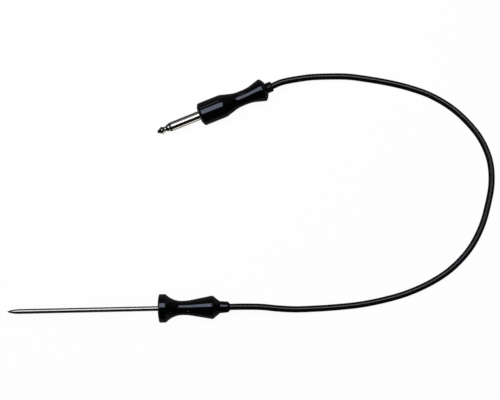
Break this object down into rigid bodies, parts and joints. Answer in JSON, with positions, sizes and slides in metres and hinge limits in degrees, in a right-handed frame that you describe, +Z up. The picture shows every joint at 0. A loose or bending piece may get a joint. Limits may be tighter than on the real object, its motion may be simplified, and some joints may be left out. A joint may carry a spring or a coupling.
{
  "type": "food temperature probe",
  "caption": "Steel needle temperature probe with a black guarded, waisted handle, a flexible screened cord and a quarter-inch phone plug in a black waisted housing.",
  "frame": {"origin": "on the needle's axis at the front face of the handle, where the needle's shoulder seats", "axes": "+X along the needle's axis, from the needle towards the cord; +Y across the table towards the plug; +Z up from the surface that the probe lies on, which is at z = -0.010 m"},
  "size_m": [0.3442, 0.1723, 0.02],
  "materials": {
    "needle_steel": "drawn and polished stainless steel",
    "handle_black": "glossy black thermoset plastic",
    "cord_black": "satin black jacket",
    "grommet_black": "smooth black rubber",
    "plug_nickel": "bright nickel plate",
    "insulator_black": "black moulded insulator",
    "brass": "turned brass",
    "copper": "bare copper",
    "tinned_steel": "tinned sheet",
    "white_plastic": "white insulation",
    "bead_glass": "glass-coated bead",
    "lead_enamel": "enamelled wire",
    "filler": "set heat-conducting paste",
    "shrink_red": "shrink sleeve",
    "washer_brown": "laminated insulating board",
    "liner_film": "insulating film",
    "solder": "solder"
  },
  "bodies": {
    "root": {"needle_tube": "needle_steel", "needle_point": "needle_steel", "thermistor_bead": "bead_glass", "tip_filler": "filler", "thermistor_leads": "lead_enamel", "lead_sleeving": "white_plastic", "needle_collar": "brass", "handle_body": "handle_black", "handle_end_cap": "handle_black", "cord_bushing": "grommet_black", "cord_anchor": "brass", "handle_cord_jacket": "cord_black", "handle_cord_screen": "copper", "handle_cord_core": "white_plastic", "handle_cord_wire": "copper", "core_splice": "brass", "splice_sleeve": "shrink_red", "screen_splice": "brass", "screen_pigtail": "copper", "cord": "cord_black", "plug_tip": "plug_nickel", "tip_insulator": "insulator_black", "plug_sleeve": "plug_nickel", "sleeve_lug": "tinned_steel", "lug_washer": "washer_brown", "tip_lug": "tinned_steel", "solder_joints": "solder", "plug_liner": "liner_film", "plug_housing": "handle_black", "plug_grommet": "grommet_black", "plug_cord_jacket": "cord_black", "plug_cord_screen": "copper", "plug_cord_core": "white_plastic", "plug_cord_wire": "copper"}
  },
  "joints": []
}
